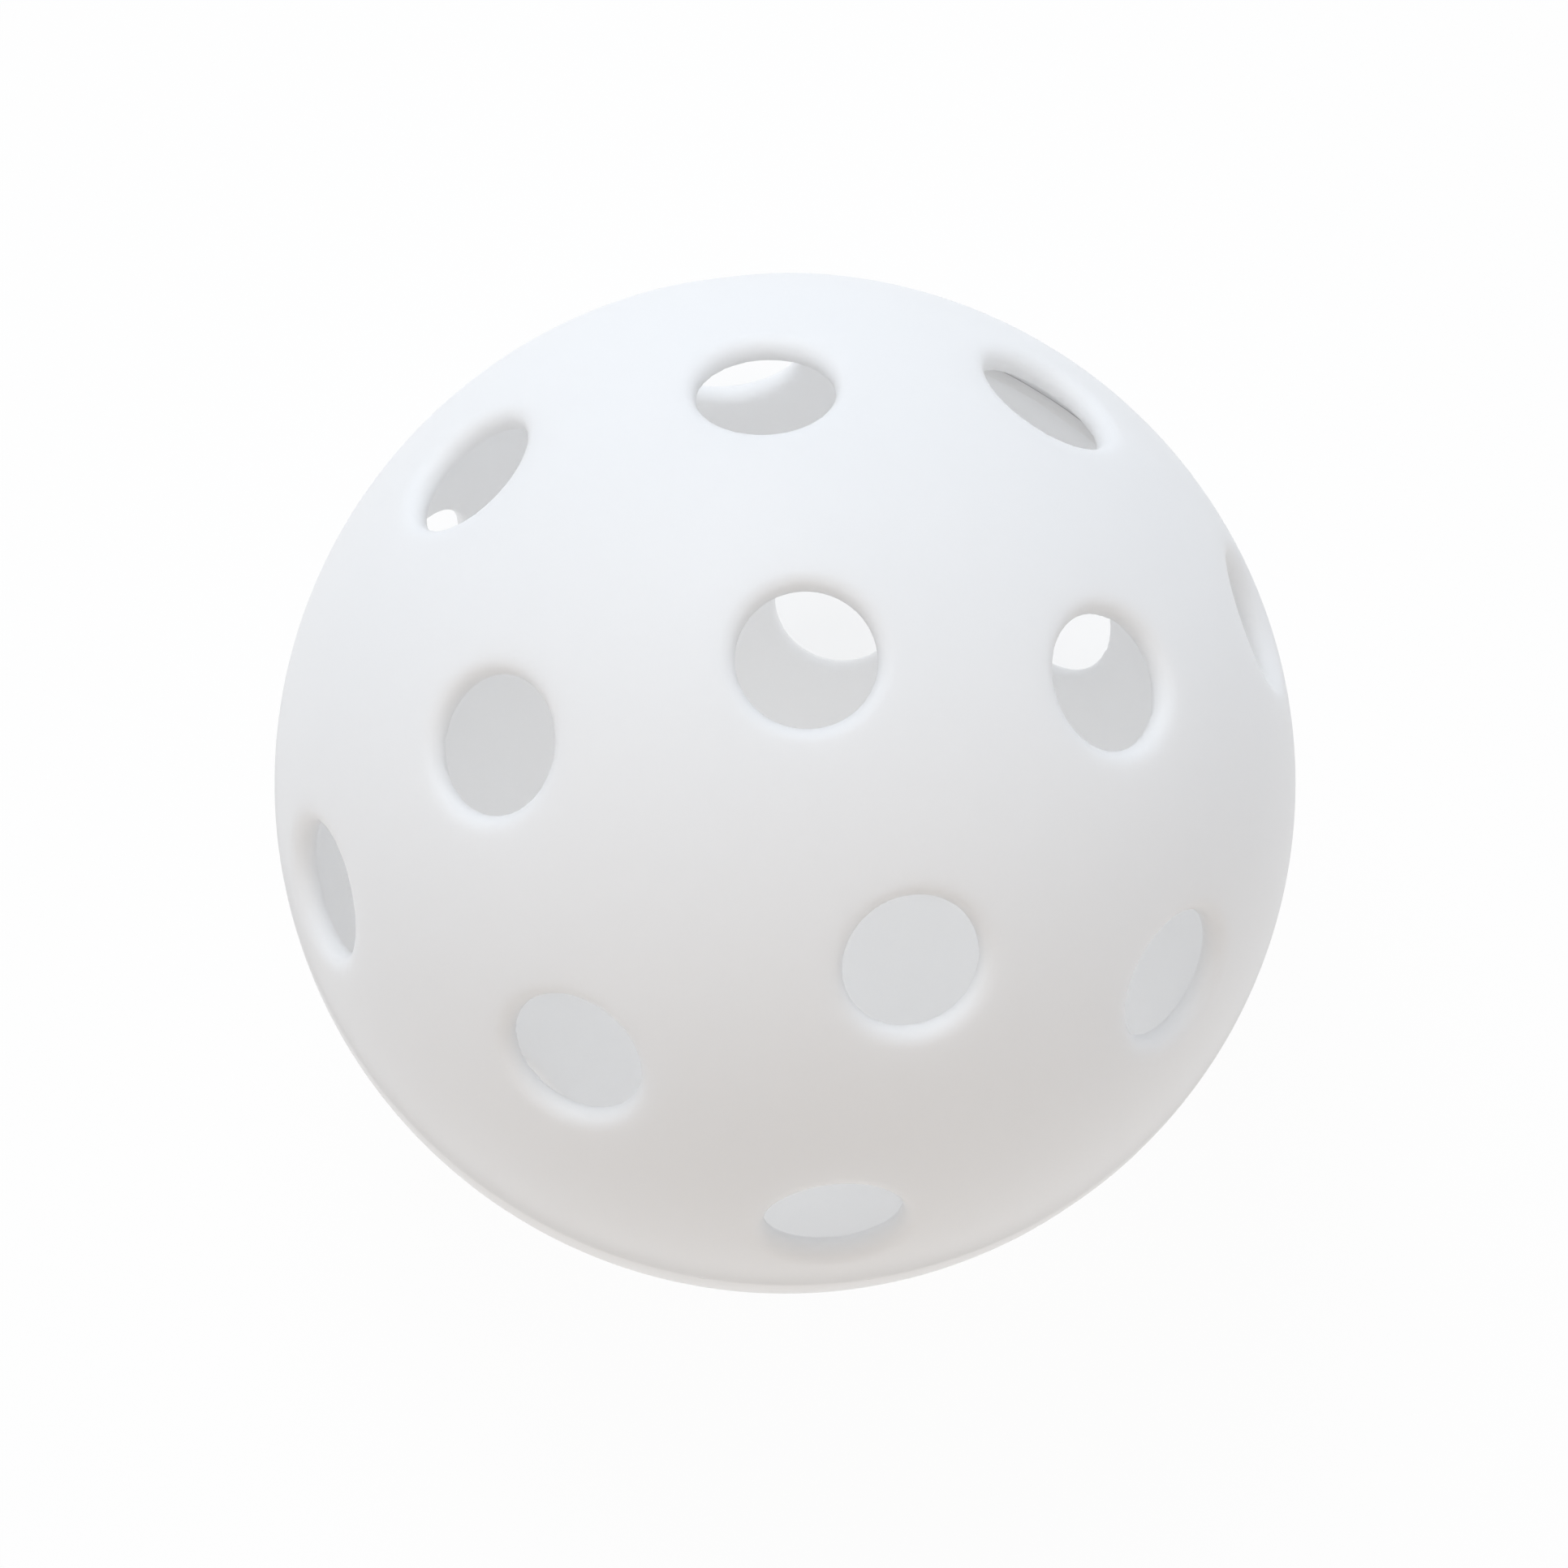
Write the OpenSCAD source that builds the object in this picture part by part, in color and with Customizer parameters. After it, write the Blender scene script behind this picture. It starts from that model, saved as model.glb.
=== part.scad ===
// Perforated hollow ball for an indoor paddle game.
// Two moulded half shells are butt welded at the equator, and a bead of melt lines the joint inside.
// Origin at the centre of the ball, +Z along the pole axis, weld line in the XY plane.

/* [Ball] */
// Outer diameter of the ball
ball_d = 74; // [72:0.1:80]
// Wall thickness of both half shells
wall = 1.95; // [1.6:0.05:3]

/* [Holes] */
// Diameter of every hole at its throat
hole_d = 9.8; // [8:0.1:11]
// Radius of the rounded outer lip of a hole
lip_r = 1.1; // [0.5:0.05:1.4]
// Height by which the lip's round stands proud of a tangent blend
lip_break = 0.1; // [0.05:0.01:0.2]

/* [Weld bead] */
// Radius of the bead's round section
bead_r = 0.7; // [0.5:0.05:1.6]

/* [Hidden] */
$fn = 96;
// Facets of the large arc that seats the thin bead
fine_fn = 720;

// Hole places on each half: tilt from its pole and turn round the pole axis, in degrees.
// One pole hole, a ring of four, then eight in a belt that zigzags beside the weld.
pole_hole = [[0, 0]];
upper_ring = [[36, 1], [36, 97], [37, 192], [36, 291]];
upper_belt = [[52, 52], [52, 144], [54, 238], [62, 326], [71, 16], [79, 97], [73, 198], [72, 275]];
lower_ring = [[38, 76], [33, 127], [31, 280], [41, 358]];
lower_belt = [[54, 41], [52, 180], [50, 224], [77, 96], [69, 144], [70, 258], [76, 306], [76, 356]];

ball_r = ball_d / 2;
cavity_r = ball_r - wall;
hole_r = hole_d / 2;
lip_x = hole_r + lip_r;
lip_z = sqrt(pow(ball_r - lip_r, 2) - pow(lip_x, 2)) + lip_break;
cut_top = ball_r + lip_r;
cut_low = cavity_r - 2 * lip_r;

// A straight bore that opens into a rounded lip, along +Z from inside the wall to outside it.
module hole_cutter() {
    translate([0, 0, cut_low]) cylinder(h = cut_top - cut_low, r = hole_r);
    rotate_extrude() difference() {
        translate([0, lip_z]) square([lip_x, cut_top - lip_z]);
        translate([lip_x, lip_z]) circle(lip_r);
    }
}

// The upper half of the hollow ball with holes at the given places, open at the weld plane.
module half_shell(places) {
    difference() {
        sphere(ball_r);
        sphere(cavity_r);
        translate([-ball_d, -ball_d, -2 * ball_d]) cube(2 * ball_d);
        for (place = places) {
            rotate([0, place[0], place[1]]) hole_cutter();
        }
    }
}

module upper_half_shell() {
    color("white") half_shell(concat(pole_hole, upper_ring, upper_belt));
}

// The lower half hangs below the weld plane, with its turns counted the same way.
module lower_half_shell() {
    color("whitesmoke") mirror([0, 0, 1]) half_shell(concat(pole_hole, lower_ring, lower_belt));
}

// Melt squeezed inwards along the joint: a round bead seated on the wall's inner face.
module weld_bead() {
    color("gainsboro") rotate_extrude() intersection() {
        circle(cavity_r, $fn = fine_fn);
        translate([cavity_r, 0]) circle(bead_r, $fn = fine_fn);
    }
}

upper_half_shell();
lower_half_shell();
weld_bead();
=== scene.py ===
import math
import bpy
import numpy as np
from mathutils import Matrix, Vector


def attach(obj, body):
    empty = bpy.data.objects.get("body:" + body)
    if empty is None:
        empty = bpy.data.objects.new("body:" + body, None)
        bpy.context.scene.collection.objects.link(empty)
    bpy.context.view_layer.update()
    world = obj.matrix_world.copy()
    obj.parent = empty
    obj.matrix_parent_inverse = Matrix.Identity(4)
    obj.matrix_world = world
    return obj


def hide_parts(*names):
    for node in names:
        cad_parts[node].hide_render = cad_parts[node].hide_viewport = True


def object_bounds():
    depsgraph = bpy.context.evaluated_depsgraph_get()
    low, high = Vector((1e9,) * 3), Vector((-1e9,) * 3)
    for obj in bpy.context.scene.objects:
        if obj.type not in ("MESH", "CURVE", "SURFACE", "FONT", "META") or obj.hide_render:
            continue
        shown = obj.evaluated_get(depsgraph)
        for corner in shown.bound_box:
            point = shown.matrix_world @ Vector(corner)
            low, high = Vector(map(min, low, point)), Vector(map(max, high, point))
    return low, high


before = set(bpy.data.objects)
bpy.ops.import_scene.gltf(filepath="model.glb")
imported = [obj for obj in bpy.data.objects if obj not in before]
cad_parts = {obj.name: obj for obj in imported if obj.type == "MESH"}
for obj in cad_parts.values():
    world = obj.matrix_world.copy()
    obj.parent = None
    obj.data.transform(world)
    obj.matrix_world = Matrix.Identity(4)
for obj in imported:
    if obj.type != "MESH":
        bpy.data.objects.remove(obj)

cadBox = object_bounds()
print("frame loaded", cadBox)

mm = 0.001

# the moulded half, in millimetres and degrees: each hole is tilt from the pole, then turn round it
shell = {
    "ballR": 37.0,
    "wall": 1.95,
    "holeR": 4.9,
    "lipR": 1.25,           # soft outer lip of a hole
    "innerLipR": 0.55,
    "poleHole": [(0, 0)],
    "upperRing": [(36, 1), (36, 97), (37, 192), (36, 291)],
    "upperBelt": [(52, 52), (52, 144), (54, 238), (62, 326),
                  (71, 16), (79, 97), (73, 198), (72, 275)],
    "lowerRing": [(38, 76), (33, 127), (31, 280), (41, 358)],
    "lowerBelt": [(54, 41), (52, 180), (50, 224), (77, 96),
                  (69, 144), (70, 258), (76, 306), (76, 356)],
    "skirt": 3.0,           # spare length below the weld plane, cut off at the end
    "weldGap": 0.03,        # hair gap between the two weld faces
    "segments": 160,        # of the rough ball
    "rings": 80,
    "drillSides": 48,
    "drillSpare": 0.2,      # the drill is wider than the throat by this
    "drillDepth": 12.0,
    "voxel": 0.5,
    "outOfReach": -99.0,    # distance given on the far side of a hole's axis
    "formPasses": 8,
    "formShare": 0.9,       # part of the way that each pass goes
    "formStep": 0.01,
    "flattestSlope": 0.05,
    "skirtKept": 0.6,       # this far down the skirt the points stay as they are
    "smoothAngle": 75,
}


def deselectAll():
    if bpy.context.object and bpy.context.object.mode != "OBJECT":
        bpy.ops.object.mode_set(mode="OBJECT")
    bpy.ops.object.select_all(action="DESELECT")


def makeActive(obj):
    deselectAll()
    obj.select_set(True)
    bpy.context.view_layer.objects.active = obj


def applyModifier(obj, kind, **settings):
    makeActive(obj)
    mod = obj.modifiers.new(kind.lower(), kind)
    for name, value in settings.items():
        setattr(mod, name, value)
    bpy.ops.object.modifier_apply(modifier=mod.name)


def holeAxes(side):
    places = shell["poleHole"] + shell[side + "Ring"] + shell[side + "Belt"]
    axes = []
    for tilt, turn in places:
        spin = Matrix.Rotation(math.radians(turn), 3, "Z") @ Matrix.Rotation(math.radians(tilt), 3, "Y")
        axes.append(spin @ Vector((0, 0, 1)))
    return axes


def roundMeet(a, b, r):
    over = np.hypot(np.maximum(a + r, 0), np.maximum(b + r, 0))
    return np.minimum(np.maximum(a, b), -r) + over


# distance from a point to the lipped shell, negative inside the plastic
def shellDistance(points, axes):
    reach = np.linalg.norm(points, axis=1)
    along = points @ axes.T
    away = np.sqrt(np.maximum(reach[:, None] ** 2 - along ** 2, 0))
    inHole = np.where(along > 0, shell["holeR"] - away, shell["outOfReach"]).max(axis=1)
    outer = roundMeet(reach - shell["ballR"], inHole, shell["lipR"])
    inner = roundMeet(shell["ballR"] - shell["wall"] - reach, inHole, shell["innerLipR"])
    return np.maximum(outer, inner)


# draws each point of the rough mesh onto the true lipped form
def trueToForm(obj, axes):
    mesh = obj.data
    points = np.empty(len(mesh.vertices) * 3)
    mesh.vertices.foreach_get("co", points)
    points = points.reshape(-1, 3) / mm
    step = shell["formStep"]
    for formPass in range(shell["formPasses"]):
        dist = shellDistance(points, axes)
        grad = np.empty_like(points)
        for k in range(3):
            push = np.zeros(3)
            push[k] = step
            rise = shellDistance(points + push, axes) - shellDistance(points - push, axes)
            grad[:, k] = rise / (2 * step)
        slope = np.maximum((grad ** 2).sum(axis=1), shell["flattestSlope"])
        move = shell["formShare"] * (dist / slope)[:, None] * grad
        move[points[:, 2] < -shell["skirtKept"] * shell["skirt"]] = 0
        points -= move
    mesh.vertices.foreach_set("co", (points * mm).ravel())
    mesh.update()


def cutWeldFace(obj):
    makeActive(obj)
    bpy.ops.object.mode_set(mode="EDIT")
    bpy.ops.mesh.select_all(action="SELECT")
    bpy.ops.mesh.bisect(plane_co=(0, 0, shell["weldGap"] / 2 * mm), plane_no=(0, 0, 1),
                        clear_inner=True, use_fill=False)
    bpy.ops.mesh.select_all(action="DESELECT")
    bpy.ops.mesh.select_mode(type="EDGE")
    bpy.ops.mesh.select_non_manifold(extend=False, use_wire=False, use_multi_face=False,
                                     use_verts=False)
    bpy.ops.mesh.bridge_edge_loops()
    bpy.ops.mesh.select_all(action="SELECT")
    bpy.ops.mesh.normals_make_consistent(inside=False)
    bpy.ops.object.mode_set(mode="OBJECT")


def halfShell(name, side):
    axes = holeAxes(side)
    deselectAll()
    bpy.ops.mesh.primitive_uv_sphere_add(segments=shell["segments"], ring_count=shell["rings"],
                                         radius=shell["ballR"] * mm)
    half = bpy.context.object
    half.name = name
    bpy.ops.object.mode_set(mode="EDIT")
    bpy.ops.mesh.select_all(action="SELECT")
    bpy.ops.mesh.bisect(plane_co=(0, 0, -shell["skirt"] * mm), plane_no=(0, 0, 1), clear_inner=True)
    bpy.ops.object.mode_set(mode="OBJECT")
    applyModifier(half, "SOLIDIFY", thickness=shell["wall"] * mm, offset=-1)
    for axis in axes:
        deselectAll()
        bpy.ops.mesh.primitive_cylinder_add(vertices=shell["drillSides"],
                                            radius=(shell["holeR"] + shell["drillSpare"]) * mm,
                                            depth=shell["drillDepth"] * mm,
                                            location=axis * shell["ballR"] * mm,
                                            rotation=axis.to_track_quat("Z", "Y").to_euler())
        drill = bpy.context.object
        applyModifier(half, "BOOLEAN", object=drill, operation="DIFFERENCE", solver="EXACT")
        bpy.data.objects.remove(drill, do_unlink=True)
    applyModifier(half, "REMESH", mode="VOXEL", voxel_size=shell["voxel"] * mm)
    trueToForm(half, np.array([list(a) for a in axes]))
    cutWeldFace(half)
    makeActive(half)
    bpy.ops.object.shade_smooth_by_angle(angle=math.radians(shell["smoothAngle"]))
    print(name, "faces", len(half.data.polygons))
    return half


upperHalf = halfShell("upper_half_moulding", "upper")
lowerHalf = halfShell("lower_half_moulding", "lower")
makeActive(lowerHalf)
bpy.ops.transform.mirror(constraint_axis=(False, False, True))
bpy.ops.object.transform_apply(location=False, rotation=False, scale=True)
bpy.ops.object.mode_set(mode="EDIT")
bpy.ops.mesh.select_all(action="SELECT")
bpy.ops.mesh.normals_make_consistent(inside=False)
bpy.ops.object.mode_set(mode="OBJECT")

print("half shells done")

# melt squeezed inwards along the weld, a little uneven along its length
bead = {
    "beadR": 0.7,
    "seat": 0.03,           # hair gap to the wall
    "unevenness": 0.16,
    "lumpSize": 2.4,
    "lengthSteps": 256,
    "roundSteps": 32,
    "smoothAngle": 40,
}


# presses the outer side of the ring flat against the wall
def seatOnWall(obj, wallR):
    mesh = obj.data
    points = np.empty(len(mesh.vertices) * 3)
    mesh.vertices.foreach_get("co", points)
    points = points.reshape(-1, 3)
    reach = np.linalg.norm(points, axis=1)
    points *= np.minimum(1, wallR / reach)[:, None]
    mesh.vertices.foreach_set("co", points.ravel())
    mesh.update()


def weldBead(name):
    cavityR = shell["ballR"] - shell["wall"]
    deselectAll()
    bpy.ops.mesh.primitive_torus_add(major_segments=bead["lengthSteps"],
                                     minor_segments=bead["roundSteps"],
                                     major_radius=cavityR * mm,
                                     minor_radius=(bead["beadR"] - bead["unevenness"] / 2) * mm)
    ring = bpy.context.object
    ring.name = name
    lumps = bpy.data.textures.new("melt_lumps", "CLOUDS")
    lumps.noise_scale = bead["lumpSize"] * mm
    applyModifier(ring, "DISPLACE", texture=lumps, texture_coords="LOCAL",
                  strength=bead["unevenness"] * mm)
    seatOnWall(ring, (cavityR - bead["seat"]) * mm)
    makeActive(ring)
    bpy.ops.object.shade_smooth_by_angle(angle=math.radians(bead["smoothAngle"]))
    print(name, "faces", len(ring.data.polygons))
    return ring


meltBead = weldBead("weld_melt_bead")

for piece, node, slot in ((upperHalf, "upper_half_shell", "shell_white"),
                          (lowerHalf, "lower_half_shell", "shell_white"),
                          (meltBead, "weld_bead", "bead_white")):
    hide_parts(node)
    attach(piece, "root")

# white polyethylene: milky, satin, with a faint mottle from the mould
plastic = {
    "milk": (0.955, 0.96, 0.965, 1),
    "chalk": (0.97, 0.97, 0.97, 1),
    "mottleScale": 45,
    "mottleDetail": 4,
    "milkEnds": 0.35,
    "chalkStarts": 0.65,
    "grainScale": 2600,
    "grainDetail": 2,
    "grainBump": 0.04,
    "grainHeight": 0.0002,
    "roughLow": 0.42,
    "roughHigh": 0.52,
    "shine": 0.15,
    "glow": 0.62,
    "weldGlow": 0.2,        # the thick weld line lets less light through
    "weldBand": 0.0035,
    "glowReach": (0.012, 0.0118, 0.0116),
    "glowScale": 1.0,
}

# the bead cooled against nothing, so it is a little glossier and finer in its mottle
melt = dict(plastic, mottleScale=160, roughLow=0.3, roughHigh=0.4)


def whitePlastic(name, look):
    mat = bpy.data.materials.new(name)
    mat.use_nodes = True
    nodes = mat.node_tree.nodes
    links = mat.node_tree.links
    shader = nodes["Principled BSDF"]
    coord = nodes.new("ShaderNodeTexCoord")
    mottle = nodes.new("ShaderNodeTexNoise")
    mottle.inputs["Scale"].default_value = look["mottleScale"]
    mottle.inputs["Detail"].default_value = look["mottleDetail"]
    links.new(coord.outputs["Object"], mottle.inputs["Vector"])
    tint = nodes.new("ShaderNodeValToRGB")
    tint.color_ramp.elements[0].position = look["milkEnds"]
    tint.color_ramp.elements[0].color = look["milk"]
    tint.color_ramp.elements[1].position = look["chalkStarts"]
    tint.color_ramp.elements[1].color = look["chalk"]
    links.new(mottle.outputs["Fac"], tint.inputs["Fac"])
    links.new(tint.outputs["Color"], shader.inputs["Base Color"])
    polish = nodes.new("ShaderNodeMapRange")
    polish.inputs["To Min"].default_value = look["roughLow"]
    polish.inputs["To Max"].default_value = look["roughHigh"]
    links.new(mottle.outputs["Fac"], polish.inputs["Value"])
    links.new(polish.outputs["Result"], shader.inputs["Roughness"])
    grain = nodes.new("ShaderNodeTexNoise")
    grain.inputs["Scale"].default_value = look["grainScale"]
    grain.inputs["Detail"].default_value = look["grainDetail"]
    links.new(coord.outputs["Object"], grain.inputs["Vector"])
    bump = nodes.new("ShaderNodeBump")
    bump.inputs["Strength"].default_value = look["grainBump"]
    bump.inputs["Distance"].default_value = look["grainHeight"]
    links.new(grain.outputs["Fac"], bump.inputs["Height"])
    links.new(bump.outputs["Normal"], shader.inputs["Normal"])
    shader.inputs["Specular IOR Level"].default_value = look["shine"]
    return mat


# light soaks into the moulding and comes out again, less so near the weld
def soakLight(mat, look):
    nodes = mat.node_tree.nodes
    links = mat.node_tree.links
    shader = nodes["Principled BSDF"]
    coord = nodes.new("ShaderNodeTexCoord")
    place = nodes.new("ShaderNodeSeparateXYZ")
    links.new(coord.outputs["Object"], place.inputs[0])
    offWeld = nodes.new("ShaderNodeMath")
    offWeld.operation = "ABSOLUTE"
    links.new(place.outputs["Z"], offWeld.inputs[0])
    glow = nodes.new("ShaderNodeMapRange")
    glow.inputs["From Max"].default_value = look["weldBand"]
    glow.inputs["To Min"].default_value = look["weldGlow"]
    glow.inputs["To Max"].default_value = look["glow"]
    links.new(offWeld.outputs[0], glow.inputs["Value"])
    links.new(glow.outputs["Result"], shader.inputs["Subsurface Weight"])
    shader.inputs["Subsurface Radius"].default_value = look["glowReach"]
    shader.inputs["Subsurface Scale"].default_value = look["glowScale"]


mouldedWhite = whitePlastic("moulded_white", plastic)
soakLight(mouldedWhite, plastic)
cooledMelt = whitePlastic("cooled_melt", melt)
for piece, finish in ((upperHalf, mouldedWhite), (lowerHalf, mouldedWhite), (meltBead, cooledMelt)):
    piece.data.materials.clear()
    piece.data.materials.append(finish)
print("plastic done")

# the photo looks down the pole axis, tilted a little; the ball's outline is 629 px of 1932 in radius
view = {
    "outlinePx": 629.0,
    "framePx": 1932.0,
    "outlineX": 967.3,
    "outlineY": 965.0,
    "distance": 16.0,       # in ball radii
    "tilt": 13.76,          # degrees about X
    "swing": -2.37,         # degrees about Y
    "sensor": 36.0,
    "clipStart": 0.01,
}


def photoCamera():
    data = bpy.data.cameras.new("photo_camera")
    cam = bpy.data.objects.new("photo_camera", data)
    bpy.context.collection.objects.link(cam)
    focalPx = view["outlinePx"] * math.sqrt(view["distance"] ** 2 - 1)
    data.sensor_width = view["sensor"]
    data.lens = view["sensor"] * focalPx / view["framePx"]
    data.shift_x = (view["framePx"] / 2 - view["outlineX"]) / view["framePx"]
    data.shift_y = (view["outlineY"] - view["framePx"] / 2) / view["framePx"]
    data.clip_start = view["clipStart"]
    swing = Matrix.Rotation(math.radians(view["swing"]), 4, "Y")
    tilt = Matrix.Rotation(math.radians(view["tilt"]), 4, "X")
    back = Matrix.Translation((0, 0, view["distance"] * shell["ballR"] * mm))
    cam.matrix_world = swing @ tilt @ back
    bpy.context.scene.camera = cam


photoCamera()

# a pale floor, white to the camera but for a trace of shade and a painted shadow under the ball, and a
# sky that is cool above and warm below
studio = {
    "backdrop": (0.97, 0.97, 0.97, 1),
    "floorSize": 4.0,
    "floorColour": (0.9, 0.9, 0.9, 1),
    "floorWhite": 0.94,
    "paintedFloorShadow": 0.55,     # painted shadow right under the ball: the floor is less white to the camera here
    "paintedShadowPlace": (0.0015, 0.009, 0.0),
    "paintedShadowReach": (0.03, 0.037),
    "floorGlow": 1.0,       # a light table's soft glow round the ball, which fills the hollow from behind
    "farGlow": 0.2,
    "glowReach": (0.06, 0.15),
    "glowPlace": (0.0, -0.035, 0.0),
    "skyTop": (0.56, 0.62, 0.7, 1),
    "skyMid": (0.62, 0.64, 0.67, 1),
    "skyLow": (0.6, 0.49, 0.385, 1),
    "keyPlace": (-0.19, 0.47, 0.78),
    "keySize": 0.5,
    "keyPower": 3.75,
    "keyColour": (0.94, 0.97, 1.0),
    "bounces": 12,          # light goes to and fro many times inside the white ball
}


def seenDirectly(nodes, links):
    path = nodes.new("ShaderNodeLightPath")
    first = nodes.new("ShaderNodeMath")
    first.operation = "MAXIMUM"
    links.new(path.outputs["Is Camera Ray"], first.inputs[0])
    links.new(path.outputs["Is Glossy Ray"], first.inputs[1])
    both = nodes.new("ShaderNodeMath")
    both.operation = "MAXIMUM"
    links.new(first.outputs[0], both.inputs[0])
    links.new(path.outputs["Is Transmission Ray"], both.inputs[1])
    return both.outputs[0]


# from one level near a place on the floor to another away from it
def fadeOut(nodes, links, place, reach, near, far):
    coord = nodes.new("ShaderNodeTexCoord")
    away = nodes.new("ShaderNodeVectorMath")
    away.operation = "DISTANCE"
    away.inputs[1].default_value = studio[place]
    links.new(coord.outputs["Object"], away.inputs[0])
    fade = nodes.new("ShaderNodeMapRange")
    fade.interpolation_type = "SMOOTHSTEP"
    fade.inputs["From Min"].default_value = studio[reach][0]
    fade.inputs["From Max"].default_value = studio[reach][1]
    fade.inputs["To Min"].default_value = studio[near]
    fade.inputs["To Max"].default_value = studio[far]
    links.new(away.outputs["Value"], fade.inputs["Value"])
    return fade.outputs["Result"]


def paleFloor():
    deselectAll()
    bpy.ops.mesh.primitive_plane_add(size=studio["floorSize"], location=(0, 0, cadBox[0][2]))
    floor = bpy.context.object
    floor.name = "pale_floor"
    mat = bpy.data.materials.new("pale_floor")
    mat.use_nodes = True
    nodes = mat.node_tree.nodes
    links = mat.node_tree.links
    nodes.clear()
    matte = nodes.new("ShaderNodeBsdfDiffuse")
    matte.inputs["Color"].default_value = studio["floorColour"]
    white = nodes.new("ShaderNodeEmission")
    amount = nodes.new("ShaderNodeMapRange")
    glow = fadeOut(nodes, links, "glowPlace", "glowReach", "floorGlow", "farGlow")
    links.new(glow, amount.inputs["To Min"])
    # painted shadow: in a disc under the ball, hidden behind it from the camera, the floor is less white
    # to the camera, so it looks darker through the holes
    shade = fadeOut(nodes, links, "paintedShadowPlace", "paintedShadowReach", "paintedFloorShadow", "floorWhite")
    links.new(shade, amount.inputs["To Max"])
    links.new(seenDirectly(nodes, links), amount.inputs["Value"])
    blend = nodes.new("ShaderNodeMixShader")
    links.new(amount.outputs["Result"], blend.inputs["Fac"])
    links.new(matte.outputs[0], blend.inputs[1])
    links.new(white.outputs[0], blend.inputs[2])
    out = nodes.new("ShaderNodeOutputMaterial")
    links.new(blend.outputs[0], out.inputs["Surface"])
    floor.data.materials.append(mat)


def studioSky():
    world = bpy.data.worlds.new("studio_sky")
    bpy.context.scene.world = world
    world.use_nodes = True
    nodes = world.node_tree.nodes
    links = world.node_tree.links
    nodes.clear()
    coord = nodes.new("ShaderNodeTexCoord")
    split = nodes.new("ShaderNodeSeparateXYZ")
    links.new(coord.outputs["Generated"], split.inputs[0])
    height = nodes.new("ShaderNodeMapRange")
    height.inputs["From Min"].default_value = -1
    links.new(split.outputs["Y"], height.inputs["Value"])
    ramp = nodes.new("ShaderNodeValToRGB")
    ramp.color_ramp.elements[0].color = studio["skyLow"]
    ramp.color_ramp.elements[1].color = studio["skyTop"]
    middle = ramp.color_ramp.elements.new(0.5)
    middle.color = studio["skyMid"]
    links.new(height.outputs["Result"], ramp.inputs["Fac"])
    light = nodes.new("ShaderNodeBackground")
    links.new(ramp.outputs["Color"], light.inputs["Color"])
    white = nodes.new("ShaderNodeBackground")
    white.inputs["Color"].default_value = studio["backdrop"]
    blend = nodes.new("ShaderNodeMixShader")
    links.new(seenDirectly(nodes, links), blend.inputs["Fac"])
    links.new(light.outputs[0], blend.inputs[1])
    links.new(white.outputs[0], blend.inputs[2])
    out = nodes.new("ShaderNodeOutputWorld")
    links.new(blend.outputs[0], out.inputs["Surface"])


def keyLamp():
    data = bpy.data.lights.new("key_lamp", "AREA")
    data.size = studio["keySize"]
    data.energy = studio["keyPower"]
    data.color = studio["keyColour"]
    lamp = bpy.data.objects.new("key_lamp", data)
    bpy.context.collection.objects.link(lamp)
    lamp.location = studio["keyPlace"]
    lamp.rotation_euler = Vector(studio["keyPlace"]).to_track_quat("Z", "Y").to_euler()


paleFloor()
studioSky()
keyLamp()
bpy.context.scene.view_settings.view_transform = "Standard"
bpy.context.scene.cycles.diffuse_bounces = studio["bounces"]
print("studio done")
